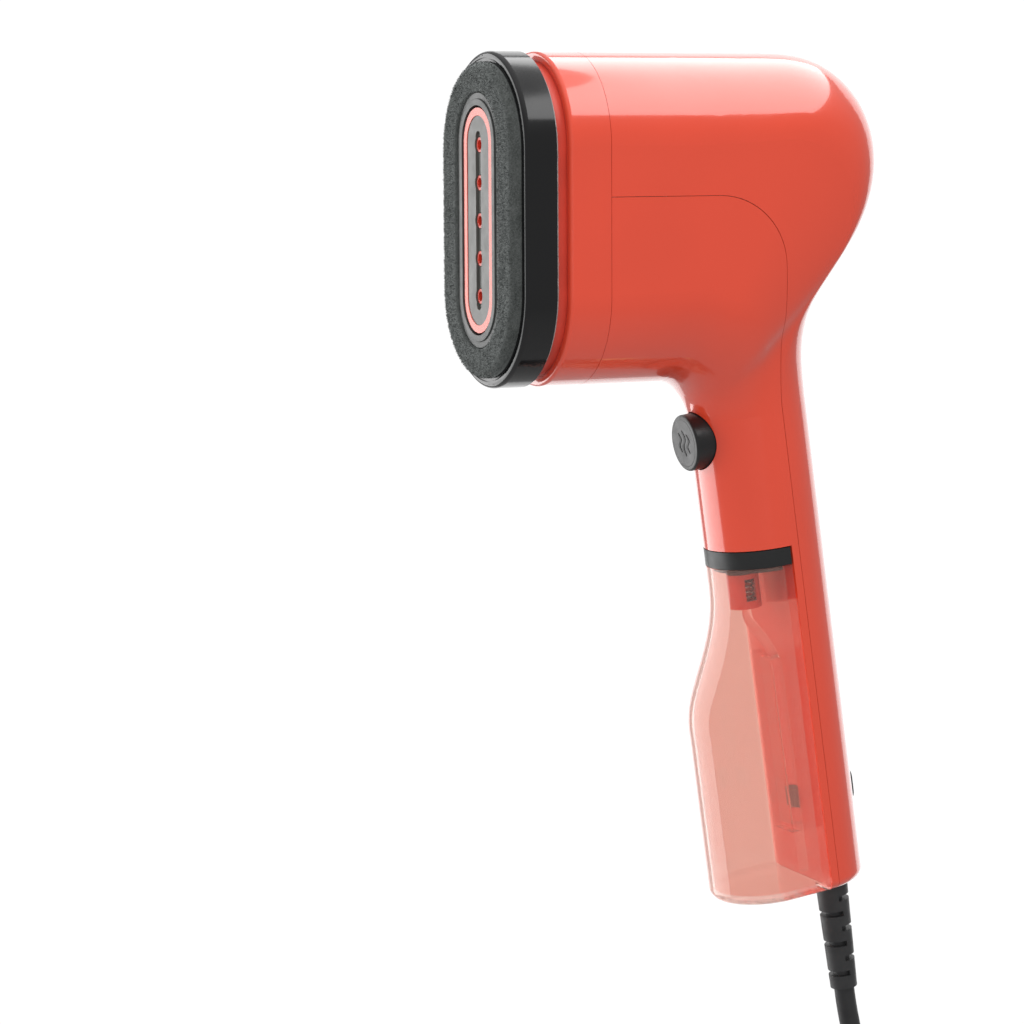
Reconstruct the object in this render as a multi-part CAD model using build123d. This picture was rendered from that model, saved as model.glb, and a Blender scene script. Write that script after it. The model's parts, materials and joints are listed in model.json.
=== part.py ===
from build123d import *
from math import cos, pi, radians, sin, tan
import os

# Hand-held garment steamer. Millimetres, +Z up, the steam face looks along -Y, and the
# part is symmetrical about X = 0. The origin is the middle of the hand grip.
# The grip leans, so places in it are given as (across, down): `across` is measured from
# the grip's axis towards the back, and `down` along the axis from the origin.

# ---- grip ----
LEAN = 8.0                 # the grip's foot leans this far to the back, degrees
GRIP_R = 18.5              # half of the grip's width, and the radius of its back
GRIP_FRONT = -18.6         # front line of the upper grip, across
TANK_FRONT = -31.6         # front line of the tank's foot, across
BULGE_TOP = 6.0            # where the tank begins to swell, down
BULGE_END = 50.0           # where the tank has its full depth, down
FOOT = 105.5               # the flat foot of the grip, down
FOOT_ROUND = 3.0           # rounding of the foot's edge
WALL = 2.2                 # wall of the casing
TANK_WALL = 1.8            # wall of the water tank
SEAM_GAP = 0.14            # fine line between two shells
SEAM_ACROSS = 3.0          # seam between the front and back shells in the grip

# ---- head ----
HEAD_Z = 106.0             # height of the head's axis
HEAD_W = 56.4
HEAD_H = 100.0
COLLAR_Y = -79.2           # front edge of the casing
COLLAR_SEAM_Y = -66.0      # seam behind the front collar
ELBOW_R = 14.1             # rounding between the head's underside and the grip
CROWN_Y = 3.4              # where the top turns down to the back
CROWN_R = 29.9
BACK_SLOPE = 34.0          # slope from the back of the head down to the grip, degrees
SHOULDER_R = 50.0          # hollow between that slope and the grip
EASE = 16.0                # length over which the back outline passes from straight to round
EASE_SAMPLES = 16
BEND_COUNT = 24
TANK_STATIONS = (-2.0, 3.0, 8.0, 14.0, 20.0, 26.0, 32.0, 38.0, 44.0, 50.0, 55.0, 60.0)
SIDE_SEAM_Z = 113.1        # level part of the side seam
SIDE_SEAM_R = 23.0         # where the side seam turns down
SIDE_SEAM_Y = -7.0         # back end of the side seam's turn

# ---- pad, slipped over the nose ----
PAD_W = 59.5
PAD_H = 100.0
PAD_FRONT = -94.0          # front face of the black frame
PAD_BACK = -84.1
RIM = 3.15                 # width of the frame's front rim
VELVET_FRONT = -97.2
RING_W = 29.8              # grey ring in the middle of the pad
RING_H = 75.4
RING_FRONT = -96.4
RING_STEP = 1.7            # width of the ring's lower step

# ---- nose ----
NOSE_W = 21.0
NOSE_H = 66.7
NOSE_WALL = 2.3
NOSE_FRONT = -96.5
NOSE_CLEARANCE = 0.7
PLATE_FRONT = -96.3
OUTLET_PITCH = 11.2
OUTLET_COUNT = 5
OUTLET_R = 2.2             # outside of a steam outlet
GROOVE_W = 3.8
GROOVE_H = 53.0
GROOVE_DEEP = 0.8

# ---- boiler ----
BOILER_W = 34.0
BOILER_H = 80.0
HEATER_R = 3.0             # the rod of the heating element
HEATER_Y = -63.0

# ---- controls ----
BUTTON_R = 8.8
BUTTON_DOWN = -40.2
BUTTON_FACE = -22.7        # across
RELEASE_DOWN = 78.0        # tank release in the back of the grip
RELEASE_FACE = 20.1        # across
FOOT_SCREWS_X = (-10.5, 10.5)

# ---- tank fittings ----
VALVE_ACROSS = -8.5
BAND_TOP = -5.3            # black cap of the tank, down
BAND_BOTTOM = 0.2
PLUG_END = 1.8             # the cap's plug in the mouth of the tank, down
VALVE_SEAT = 3.4           # down
TANK_BACK = -0.3           # rear face of the tank, across
TANK_FLOOR = 102.5         # inner floor, down

# ---- lead ----
CORD_D = 6.5
RELIEF_ACROSS = 9.5
RELIEF_FLANGE = FOOT - WALL - 2.8   # inner end of the strain relief, down
RELIEF_END = 143.5         # tip of the strain relief, down
LEAD_R = 2.6               # the lead inside the grip
HOSE_R = 2.4               # the water hose inside the grip
COIL_R = 36.0              # middle of the coil's turns
COIL_THICK = 10.5          # radius of the bundle of turns
COIL_Y = 30.0
COIL_Z = -222.0

COS_LEAN = cos(radians(LEAN))
SIN_LEAN = sin(radians(LEAN))
GRIP = Location(Plane(origin=(0, 0, 0), x_dir=(-1, 0, 0), z_dir=(0, SIN_LEAN, -COS_LEAN)))
BIG = 400.0


# ---------------------------------------------------------------- shared shapes
def on_grip(across, down):
    """(y, z) of a place in the middle plane of the grip."""
    return across * COS_LEAN + down * SIN_LEAN, across * SIN_LEAN - down * COS_LEAN


def grip_point(x, across, down):
    y, z = on_grip(across, down)
    return Vector(x, y, z)


def grip_box(x0, x1, across0, across1, down0, down1):
    """A box in the grip's own directions."""
    middle = Pos(-(x0 + x1) / 2, (across0 + across1) / 2, (down0 + down1) / 2)
    return GRIP * middle * Box(x1 - x0, across1 - across0, down1 - down0)


def grip_rod(radius, x, across, down0, down1):
    """A cylinder along the grip."""
    return GRIP * Pos(-x, across, (down0 + down1) / 2) * Cylinder(radius, down1 - down0)


def cross_rod(radius, x, across0, across1, down):
    """A cylinder from the front of the grip to its back."""
    middle = Pos(-x, (across0 + across1) / 2, down)
    return GRIP * middle * Rot(90, 0, 0) * Cylinder(radius, across1 - across0)


def head_rod(radius, x, y0, y1, z):
    """A cylinder along the head."""
    return Pos(x, (y0 + y1) / 2, z) * Rot(90, 0, 0) * Cylinder(radius, y1 - y0)


def head_slab(width, height, y0, y1):
    """An upright oblong with round ends, from y0 back to y1, on the head's axis."""
    face = Plane(origin=(0, y0, HEAD_Z), x_dir=(1, 0, 0), z_dir=(0, 1, 0))
    return extrude(face * SlotOverall(height, width, rotation=90), amount=y1 - y0)


def head_ring(width, height, wall, y0, y1):
    return head_slab(width, height, y0, y1) - head_slab(width - 2 * wall, height - 2 * wall, y0, y1)


def round_front(solid, y, radius):
    """The solid with the edges that lie in the plane y rounded."""
    return fillet(solid.edges().filter_by_position(Axis.Y, y - 0.01, y + 0.01), radius)


def oval(inner, outer, half_width, inset):
    """One section of the casing: an oblong with round ends from inner to outer, both (y, z)."""
    start = Vector(0, *inner)
    along = (Vector(0, *outer) - start).normalized()
    length = (Vector(0, *outer) - start).length
    side = Vector(1, 0, 0) * (half_width - inset)
    near = start + along * half_width
    far = start + along * (length - half_width)
    tip = along * (half_width - inset)
    edges = [
        Line(near + side, far + side),
        ThreePointArc(far + side, far + tip, far - side),
        Line(far - side, near - side),
        ThreePointArc(near - side, near - tip, near + side),
    ]
    return make_face(Wire(edges))


# ---------------------------------------------------------------- outer form
HEAD_TOP = HEAD_Z + HEAD_H / 2
HEAD_LOW = HEAD_Z - HEAD_H / 2
ELBOW_Z = HEAD_LOW - ELBOW_R
ELBOW_Y = (GRIP_FRONT - ELBOW_R - ELBOW_Z * SIN_LEAN) / COS_LEAN
BEND_END = ELBOW_Y * SIN_LEAN - ELBOW_Z * COS_LEAN


def back_outline():
    """The outline over the head's top, round its back and down the grip, EASE too long at both ends."""
    top = Line((ELBOW_Y - EASE, HEAD_TOP), (CROWN_Y, HEAD_TOP))
    crown = JernArc(top @ 1, (1, 0), CROWN_R, -(90 + BACK_SLOPE))
    down_slope = crown % 1
    corner = down_slope_meets_grip(crown @ 1, down_slope)
    tangent = SHOULDER_R * tan(radians(BACK_SLOPE + LEAN) / 2)
    slope = Line(crown @ 1, corner - down_slope * tangent)
    shoulder = JernArc(slope @ 1, down_slope, SHOULDER_R, BACK_SLOPE + LEAN)
    foot = Line(shoulder @ 1, on_grip(GRIP_R, BEND_END + EASE))
    return Wire([top, crown, slope, shoulder, foot])


def eased_outline():
    """Places along the back outline, each the mean of its surroundings, so that bends begin softly."""
    outline = back_outline()
    run = outline.length - 2 * EASE
    offsets = [EASE * (k / EASE_SAMPLES - 0.5) for k in range(EASE_SAMPLES + 1)]
    places = []
    for i in range(BEND_COUNT + 1):
        middle = EASE + run * i / BEND_COUNT
        near = [outline.position_at(middle + offset, PositionMode.LENGTH) for offset in offsets]
        places.append(sum(near, Vector()) * (1 / len(near)))
    return places


def down_slope_meets_grip(start, direction):
    """Where the slope behind the head would meet the back line of the grip."""
    across = start.X * COS_LEAN + start.Y * SIN_LEAN
    closing = direction.X * COS_LEAN + direction.Y * SIN_LEAN
    return start + direction * ((GRIP_R - across) / closing)


def smooth_step(share):
    share = min(max(share, 0.0), 1.0)
    return share * share * (3 - 2 * share)


def front_line(down):
    """Front outline of the grip and tank, across, at a place down the grip."""
    share = min(max((down - BULGE_TOP) / (BULGE_END - BULGE_TOP), 0.0), 1.0)
    return GRIP_FRONT + (TANK_FRONT - GRIP_FRONT) * smooth_step(share**1.25)


def grip_section(down, inset):
    return oval(on_grip(front_line(down), down), on_grip(GRIP_R, down), GRIP_R, inset)


def grip_prism(down0, down1, inset):
    """A straight stretch of the grip, with its section at down0."""
    return extrude(grip_section(down0, inset), amount=down1 - down0, dir=(0, SIN_LEAN, -COS_LEAN))


def bend_sections(inset):
    """Sections from the head round the bend, each from the elbow to the back outline."""
    sections = []
    for i, outer in enumerate(eased_outline()):
        share = i / BEND_COUNT
        turn = radians((90 - LEAN) * share)
        inner = (ELBOW_Y + ELBOW_R * sin(turn), ELBOW_Z + ELBOW_R * cos(turn))
        half_width = HEAD_W / 2 + (GRIP_R - HEAD_W / 2) * smooth_step((share - 0.25) / 0.75)
        sections.append(oval(inner, (outer.X, outer.Y), half_width, inset))
    return sections


def head_and_grip(inset):
    """The head, the bend and the upper grip as one form, set in by `inset`."""
    form = loft(bend_sections(inset))
    form += head_slab(HEAD_W - 2 * inset, HEAD_H - 2 * inset, COLLAR_SEAM_Y, ELBOW_Y)
    return form + grip_prism(BEND_END, 0.0, inset)


def tank_form(inset):
    """The lower grip with the tank's swelling as one form."""
    swelling = loft([grip_section(down, inset) for down in TANK_STATIONS])
    foot = grip_prism(TANK_STATIONS[-1], FOOT, inset)
    if inset == 0:
        foot = round_foot(foot)
    return swelling + foot


def round_foot(solid):
    """The solid with the edge of its foot rounded."""
    down_axis = Axis((0, 0, 0), (0, SIN_LEAN, -COS_LEAN))
    return fillet(solid.edges().group_by(down_axis)[-1], FOOT_ROUND)


def seam_region():
    """Everything in front of the side seam and below its level part."""
    low_y, low_z = on_grip(SEAM_ACROSS, FOOT + 20)
    knee = on_grip(SEAM_ACROSS, -50)
    outline = [
        Line((-BIG, SIDE_SEAM_Z), (SIDE_SEAM_Y - SIDE_SEAM_R, SIDE_SEAM_Z)),
        JernArc((SIDE_SEAM_Y - SIDE_SEAM_R, SIDE_SEAM_Z), (1, 0), SIDE_SEAM_R, -86),
    ]
    turn_end = outline[1] @ 1
    outline += [
        Line(turn_end, knee),
        Line(knee, (low_y, low_z)),
        Line((low_y, low_z), (-BIG, low_z)),
        Line((-BIG, low_z), (-BIG, SIDE_SEAM_Z)),
    ]
    side = Plane(origin=(-BIG / 2, 0, 0), x_dir=(0, 1, 0), z_dir=(1, 0, 0))
    return extrude(side * make_face(outline), amount=BIG)


def corner_radii(route):
    """The largest arc that each corner's two runs allow."""
    radii = []
    for before, corner, after in zip(route, route[1:], route[2:]):
        run_in = Vector(corner) - Vector(before)
        run_out = Vector(after) - Vector(corner)
        half_turn = radians(run_in.get_angle(run_out)) / 2
        radii.append(0.45 * min(run_in.length, run_out.length) / tan(half_turn))
    return radii


def rounded_path(route):
    return FilletPolyline([Vector(*p) for p in route], radius=corner_radii(route))


def tube(route, radius):
    """A round tube or lead along straight runs joined by arcs."""
    path = rounded_path(route)
    return sweep(Plane(origin=path @ 0, z_dir=path % 0) * Circle(radius), path=path)


def helix_spring(radius, wire, turns, height):
    """An open coil spring standing on the XY plane."""
    path = Helix(height / turns, height, radius)
    section = Plane(origin=path @ 0, z_dir=path % 0) * Circle(wire / 2)
    return sweep(section, path=path)


# ---------------------------------------------------------------- casing
def make_casing():
    """The front shell and the back shell, split at the seams."""
    outer = head_and_grip(0.0)
    skin = outer - head_and_grip(WALL)
    skin -= Pos(0, COLLAR_SEAM_Y + SEAM_GAP - BIG / 2, 0) * Box(BIG, BIG, BIG)
    skin -= grip_box(-BIG, BIG, -BIG, BIG, BAND_TOP - 0.3, BIG)
    front_side = seam_region()
    back = skin - front_side
    front = skin & (Pos(0, -SEAM_GAP, -SEAM_GAP) * front_side)

    # the grip beside and behind the tank
    stem = round_foot(grip_rod(GRIP_R, 0, 0, BAND_TOP - 0.3, FOOT))
    hollow = grip_rod(GRIP_R - WALL, 0, 0, BAND_TOP - 2, FOOT - WALL)
    back += (stem - hollow) & grip_box(-BIG, BIG, SEAM_ACROSS, BIG, -20, BIG)
    front += stem & grip_box(-BIG, BIG, -TANK_BACK, SEAM_ACROSS - SEAM_GAP, -20, BIG)
    ceiling = grip_rod(GRIP_R - 0.5, 0, 0, BAND_TOP - 2.5, BAND_TOP - 0.3)
    front += ceiling & grip_box(-BIG, BIG, -BIG, SEAM_ACROSS - SEAM_GAP, -20, BIG)
    return front_openings(front), back_openings(back)


def front_openings(front):
    for x in FOOT_SCREWS_X:
        front += grip_rod(3.0, x, 6.0, FOOT - 12, FOOT - WALL - 0.1)
        front += grip_box(x - 2.0, x + 2.0, SEAM_ACROSS - 1.0, 6.0, FOOT - 12, FOOT - WALL - 0.1)
        front -= grip_rod(1.5, x, 6.0, FOOT - 11, FOOT)
    front -= cross_rod(BUTTON_R + 0.35, 0, -30, -8, BUTTON_DOWN)
    front -= grip_rod(4.3, 0, VALVE_ACROSS, -20, 0)
    return front - grip_box(-3.1, 3.1, -4, 8, RELEASE_DOWN - 3.7, RELEASE_DOWN + 3.7)


def back_openings(back):
    for x in FOOT_SCREWS_X:
        back -= grip_rod(1.6, x, 6.0, FOOT - 4, FOOT + 1)
        back -= grip_rod(2.9, x, 6.0, FOOT - 1.3, FOOT + 1)
    back -= release_form(0.4, 10, 25)
    return back - grip_rod(5.2, 0, RELIEF_ACROSS, FOOT - 6, FOOT + 2)


def release_form(grow, across0, across1):
    """The release button's oblong, grown all round by `grow`."""
    face = Plane(origin=grip_point(0, across0, RELEASE_DOWN), x_dir=(0, SIN_LEAN, -COS_LEAN),
                 z_dir=(0, COS_LEAN, SIN_LEAN))
    return extrude(face * SlotOverall(11.4 + 2 * grow, 7.0 + 2 * grow), amount=across1 - across0)


def make_collar():
    outer = round_front(head_slab(HEAD_W, HEAD_H, COLLAR_Y, COLLAR_SEAM_Y), COLLAR_Y, 1.2)
    return outer - head_slab(HEAD_W - 2 * WALL, HEAD_H - 2 * WALL, COLLAR_Y, COLLAR_SEAM_Y)


# ---------------------------------------------------------------- nose and boiler
def make_neck():
    neck = head_slab(HEAD_W - 6.0, HEAD_H - 6.0, -82.9, -76.0)
    neck += head_slab(HEAD_W - 2 * WALL - 0.1, HEAD_H - 2 * WALL - 0.1, -79.0, -76.0)
    neck -= head_slab(NOSE_W + 0.1, NOSE_H + 0.1, -84, -70)
    for x, z in magnet_places():
        neck -= head_rod(2.6, x, -82.9, -80.8, z)
    return neck


def magnet_places():
    return [(x, HEAD_Z + z) for x in (-18.0, 18.0) for z in (-24.0, 24.0)]


def discs(radius, y0, y1):
    return Compound(children=[Solid(head_rod(radius, x, y0, y1, z).wrapped) for x, z in magnet_places()])


def outlet_heights():
    middle = (OUTLET_COUNT - 1) / 2
    return [HEAD_Z + OUTLET_PITCH * (i - middle) for i in range(OUTLET_COUNT)]


def make_steam_plate():
    inside_w, inside_h = NOSE_W - 2 * NOSE_WALL - 0.2, NOSE_H - 2 * NOSE_WALL - 0.2
    plate = head_slab(inside_w, inside_h, PLATE_FRONT, PLATE_FRONT + 4)
    plate -= head_slab(GROOVE_W, GROOVE_H, PLATE_FRONT, PLATE_FRONT + GROOVE_DEEP)
    for z in outlet_heights():
        plate -= head_rod(OUTLET_R + 0.3, 0, PLATE_FRONT, PLATE_FRONT + 4, z)
    return plate


def make_outlet_strip():
    base = PLATE_FRONT + 4
    strip = head_slab(14.0, 58.0, base, base + 2)
    for z in outlet_heights():
        strip += head_rod(OUTLET_R, 0, PLATE_FRONT + 0.5, base, z)
        strip -= head_rod(OUTLET_R - 0.7, 0, PLATE_FRONT + 0.5, base + 2, z)
    return strip


def make_boiler_block():
    block = head_slab(BOILER_W, BOILER_H, -72.2, -46.0)
    block -= head_slab(12.0, 57.0, -72.2, -68.0)
    block -= head_slab(24.0, 66.0, -68.0, -46.0)
    for x, z in boiler_screw_places():
        block += head_rod(3.2, x, -60.0, -46.0, z)
        block -= head_rod(1.8, x, -58.0, -46.0, z)
    return block


def boiler_screw_places():
    return [(x, HEAD_Z + z) for x in (-15.5, 15.5) for z in (-32.0, 32.0)]


def make_boiler_lid():
    lid = head_slab(BOILER_W, BOILER_H, -45.9, -43.0)
    for x, z in boiler_screw_places():
        lid += head_rod(3.2, x, -45.9, -43.0, z)
        lid -= head_rod(2.0, x, -46.0, -42.0, z)
    return lid - head_rod(2.0, 0, -46.0, -42.0, PUMP_Z)


def make_boiler_screws():
    screws = []
    for x, z in boiler_screw_places():
        screw = head_rod(1.75, x, -57.0, -43.0, z) + head_rod(3.0, x, -43.0, -40.8, z)
        screws.append(Solid(screw.solid().wrapped))
    return Compound(children=screws)


def make_heater():
    """A bent rod that lies against the boiler's sides and under it."""
    reach = BOILER_W / 2 + HEATER_R + 0.05
    bend_z = HEAD_Z - (BOILER_H - BOILER_W) / 2
    top_z = HEAD_Z + 24.0
    path = [
        Line((-reach, HEATER_Y, top_z), (-reach, HEATER_Y, bend_z)),
        ThreePointArc((-reach, HEATER_Y, bend_z), (0, HEATER_Y, bend_z - reach), (reach, HEATER_Y, bend_z)),
        Line((reach, HEATER_Y, bend_z), (reach, HEATER_Y, top_z)),
    ]
    rod = sweep(Plane(origin=path[0] @ 0, z_dir=(0, 0, -1)) * Circle(HEATER_R), path=Wire(path))
    for x in (-reach, reach):
        rod += Pos(x, HEATER_Y, top_z + 4) * Cylinder(1.2, 8)
    return rod


def make_thermostat():
    can = head_rod(8.0, 0, -43.0, -37.5, HEAD_Z - 14)
    for x in (-4.0, 4.0):
        can += Pos(x, -36.0, HEAD_Z - 14) * Box(0.8, 4.0, 5.0)
    return can


def make_thermal_fuse():
    fuse = Pos(12.0, -40.4, HEAD_Z - 2) * Cylinder(2.5, 15)
    return fuse + Pos(12.0, -40.4, HEAD_Z - 2) * Cylinder(0.7, 26)


# ---------------------------------------------------------------- pump and electrics
PUMP_Z = HEAD_Z + 17.0


def make_pump_body():
    pump = head_rod(9.0, 0, -25.0, 11.0, PUMP_Z)
    return pump + head_rod(2.6, 0, 11.0, 17.0, PUMP_Z)


def make_pump_coil():
    return Pos(0, -7.0, PUMP_Z) * Box(28, 24, 28) - head_rod(9.05, 0, -25.0, 11.0, PUMP_Z)


def make_pump_cradle():
    cradle = Pos(0, -7.0, PUMP_Z + 15.2) * Box(34, 20, 2.2)
    for x in (-15.2, 15.2):
        cradle += Pos(x, -7.0, PUMP_Z + 4.0) * Box(2.2, 20, 24)
    return cradle


def make_suction_hose():
    route = [grip_point(*p) for p in [(0, 0.0, -13.0), (0, 7.0, -13.0), (8.5, 7.0, -30.0), (8.0, 6.0, -55.0)]]
    route += [Vector(6.5, 2.0, 78.0), Vector(2.0, 19.5, 106.0)]
    route += [Vector(0, 27.2, PUMP_Z), Vector(0, 17.05, PUMP_Z)]
    return tube(route, HOSE_R)


def make_inner_lead():
    start = RELIEF_FLANGE - 0.1
    places = [(0, RELIEF_ACROSS, start), (0, RELIEF_ACROSS, start - 5), (-9.0, RELIEF_ACROSS, start - 17),
              (-9.0, 8.0, -20), (-8.5, 6.0, -40)]
    route = [grip_point(*p) for p in places] + [Vector(-9.5, -9.0, 58), Vector(-9.5, -14.0, 67)]
    return tube(route, LEAD_R)


def make_circuit_board():
    return Pos(-13.8, -19.0, 86.0) * Box(1.6, 28.0, 38.0)


def make_board_parts():
    parts = [
        Pos(-7.9, -17.0, 92.0) * Box(10.0, 14.0, 18.0),
        Pos(-8.9, -28.0, 82.0) * Rot(0, 90, 0) * Cylinder(4.0, 8.0),
        Pos(-10.4, -14.0, 74.5) * Box(5.0, 16.0, 8.0),
    ]
    return Compound(children=[Solid(p.solid().wrapped) for p in parts])


# ---------------------------------------------------------------- steam button
def make_steam_button():
    cap = cross_rod(BUTTON_R, 0, BUTTON_FACE, -9.0, BUTTON_DOWN)
    edge = cap.edges().sort_by(Axis((0, 0, 0), (0, COS_LEAN, SIN_LEAN)))[0]
    cap = fillet(edge, 0.8)
    cap -= cross_rod(7.2, 0, -13.0, -9.0, BUTTON_DOWN)
    return cap + cross_rod(2.0, 0, -13.0, -2.2, BUTTON_DOWN)


def make_button_guide():
    guide = cross_rod(10.7, 0, -14.0, -3.0, BUTTON_DOWN) - cross_rod(9.15, 0, -14.0, -4.2, BUTTON_DOWN)
    guide -= cross_rod(2.45, 0, -6.0, 0.0, BUTTON_DOWN)
    return guide & head_and_grip(WALL + 0.1)


def make_button_spring():
    place = Location(Plane(origin=grip_point(0, -12.5, BUTTON_DOWN), z_dir=(0, COS_LEAN, SIN_LEAN)))
    return place * helix_spring(4.6, 0.8, 4, 7.8)


def make_microswitch():
    switch = grip_box(-3.2, 3.2, 1.0, 8.0, BUTTON_DOWN - 6.5, BUTTON_DOWN + 6.5)
    for down in (-4.5, 0.0, 4.5):
        switch += grip_box(-0.4, 0.4, 8.0, 11.0, BUTTON_DOWN + down - 1, BUTTON_DOWN + down + 1)
    return switch


# ---------------------------------------------------------------- tank release
def make_release_button():
    cap = release_form(0.0, 15.0, RELEASE_FACE)
    rim = cap.edges().group_by(Axis((0, 0, 0), (0, COS_LEAN, SIN_LEAN)))[-1]
    cap = fillet(rim, 1.2)
    cap += grip_box(-4.6, 4.6, 13.2, 15.0, RELEASE_DOWN - 5.5, RELEASE_DOWN + 5.5)
    return cap + grip_box(-2.5, 2.5, -1.2, 13.4, RELEASE_DOWN - 3.0, RELEASE_DOWN + 3.0)


def make_release_spring():
    place = Location(Plane(origin=grip_point(0, 3.5, RELEASE_DOWN), z_dir=(0, COS_LEAN, SIN_LEAN)))
    return place * helix_spring(4.8, 0.7, 5, 9.2)


# ---------------------------------------------------------------- tank
def make_tank():
    body = tank_form(0.0) & grip_box(-BIG, BIG, -BIG, TANK_BACK, BAND_BOTTOM + 0.1, BIG)
    cavity = tank_form(TANK_WALL)
    cavity &= grip_box(-BIG, BIG, -BIG, TANK_BACK - TANK_WALL, -1, TANK_FLOOR)
    low, high = RELEASE_DOWN - 46, RELEASE_DOWN + 8
    cavity -= grip_box(-5.8, 5.8, -5.2, 5, low - TANK_WALL, high + TANK_WALL)
    return body - cavity - grip_box(-4.0, 4.0, -3.4, 5, low, high)


def make_tank_cap():
    cap = grip_prism(BAND_TOP, BAND_BOTTOM - 0.1, 0.0)
    cap &= grip_box(-BIG, BIG, -BIG, TANK_BACK, -20, BIG)
    plug = grip_prism(BAND_BOTTOM - 0.2, PLUG_END, TANK_WALL + 0.4)
    cap += plug & grip_box(-BIG, BIG, -BIG, TANK_BACK - TANK_WALL - 0.4, -20, BIG)
    cap += grip_rod(5.0, 0, VALVE_ACROSS, 0.0, VALVE_SEAT)
    cap += grip_rod(3.7, 0, VALVE_ACROSS, -12.6, BAND_TOP + 0.1)
    return cap - grip_rod(2.2, 0, VALVE_ACROSS, -13, VALVE_SEAT + 1)


def make_valve_plunger():
    return grip_rod(1.7, 0, VALVE_ACROSS, -13.0, 4.7) + grip_rod(3.8, 0, VALVE_ACROSS, 4.6, 6.0)


def make_valve_cage():
    cage = grip_rod(5.0, 0, VALVE_ACROSS, VALVE_SEAT, 14.4)
    cage -= grip_rod(4.3, 0, VALVE_ACROSS, VALVE_SEAT, 13.4)
    cage -= grip_rod(1.3, 0, VALVE_ACROSS, 13, 15)
    return cage - grip_box(-6, 6, VALVE_ACROSS - 1.8, VALVE_ACROSS + 1.8, 5.0, 12.0)


def make_valve_spring():
    place = Location(Plane(origin=grip_point(0, VALVE_ACROSS, 6.5), z_dir=(0, SIN_LEAN, -COS_LEAN)))
    return place * helix_spring(2.9, 0.6, 4, 6.4)


def make_dip_tube():
    route = [(0, VALVE_ACROSS, 14.4), (0, VALVE_ACROSS, 18.5), (9.0, -4.8, 29.0), (9.0, -4.3, 99.5)]
    return tube([grip_point(*p) for p in route], 1.5)


def make_tank_socket():
    socket = grip_rod(6.5, 0, VALVE_ACROSS, -18.0, BAND_TOP - 2.6)
    socket -= grip_rod(4.1, 0, VALVE_ACROSS, -15.0, 0)
    socket += cross_rod(2.4, 0, -3.4, -0.1, -13.0)
    return socket


def make_foot_screws():
    screws = []
    for x in FOOT_SCREWS_X:
        screw = grip_rod(1.45, x, 6.0, FOOT - 10, FOOT - 1.3) + grip_rod(2.7, x, 6.0, FOOT - 1.3, FOOT - 0.1)
        screws.append(Solid(screw.solid().wrapped))
    return Compound(children=screws)


# ---------------------------------------------------------------- pad
def make_pad_frame():
    frame = round_front(head_slab(PAD_W, PAD_H, PAD_FRONT, PAD_BACK), PAD_FRONT, 1.5)
    frame -= head_slab(PAD_W - 2 * RIM, PAD_H - 2 * RIM, PAD_FRONT, PAD_FRONT + 4)
    frame -= head_ring(PAD_W - 3.9, PAD_H - 3.9, 0.4, PAD_FRONT, PAD_FRONT + 0.5)
    frame -= head_slab(RING_W + 0.1, RING_H + 0.1, PAD_FRONT, PAD_BACK)
    frame -= head_slab(PAD_W - 2.0, PAD_H - 2.0, PAD_BACK - 0.6, PAD_BACK)
    for x, z in magnet_places():
        frame -= head_rod(2.6, x, PAD_BACK - 2.8, PAD_BACK - 0.6, z)
    return frame


def make_velvet_pad():
    width, height = PAD_W - 2 * RIM - 0.3, PAD_H - 2 * RIM - 0.3
    pad = round_front(head_slab(width, height, VELVET_FRONT, PAD_FRONT + 4), VELVET_FRONT, 2.4)
    return pad - head_slab(RING_W + 0.4, RING_H + 0.4, VELVET_FRONT, PAD_FRONT + 4)


def make_lint_pad():
    return head_slab(PAD_W - 2.2, PAD_H - 2.2, PAD_BACK - 0.6, PAD_BACK + 0.8) - head_slab(
        RING_W + 0.2, RING_H + 0.2, PAD_BACK - 1, PAD_BACK + 1)


def make_pad_ring():
    opening_w, opening_h = NOSE_W + 2 * NOSE_CLEARANCE, NOSE_H + 2 * NOSE_CLEARANCE
    ring = head_slab(RING_W, RING_H, RING_FRONT, PAD_BACK)
    step = head_slab(RING_W - 2 * RING_STEP, RING_H - 2 * RING_STEP, RING_FRONT - 0.5, RING_FRONT)
    ring += round_front(step, RING_FRONT - 0.5, 0.3)
    return ring - head_slab(opening_w, opening_h, RING_FRONT - 0.5, PAD_BACK)


# ---------------------------------------------------------------- lead
CORD_ROUTE = [
    tuple(grip_point(0, RELIEF_ACROSS, RELIEF_END)),
    (0.0, 33.0, -166.0),
    (0.0, 45.0, -186.0),
    (0.0, 60.0, -202.0),
    (0.0, 66.0, -222.0),
]


def make_power_cord():
    radii = corner_radii(CORD_ROUTE)
    path = rounded_path(CORD_ROUTE)
    cord = tube(CORD_ROUTE, CORD_D / 2)
    print("cord bends", [round(r, 1) for r in radii], "length", round(path.length, 1))
    print("cord volume over section times length", round(cord.volume / (pi * CORD_D**2 / 4 * path.length), 4))
    return cord


def make_cord_coil():
    return Pos(0, COIL_Y, COIL_Z) * Rot(0, 90, 0) * Torus(COIL_R, COIL_THICK)


def make_cord_tie():
    top = Pos(0, COIL_Y, COIL_Z + COIL_R)
    strap = Cylinder(COIL_THICK + 1.4, 12) - Cylinder(COIL_THICK + 0.3, 12)
    return top * Rot(90, 0, 0) * strap - make_cord_coil()


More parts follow.
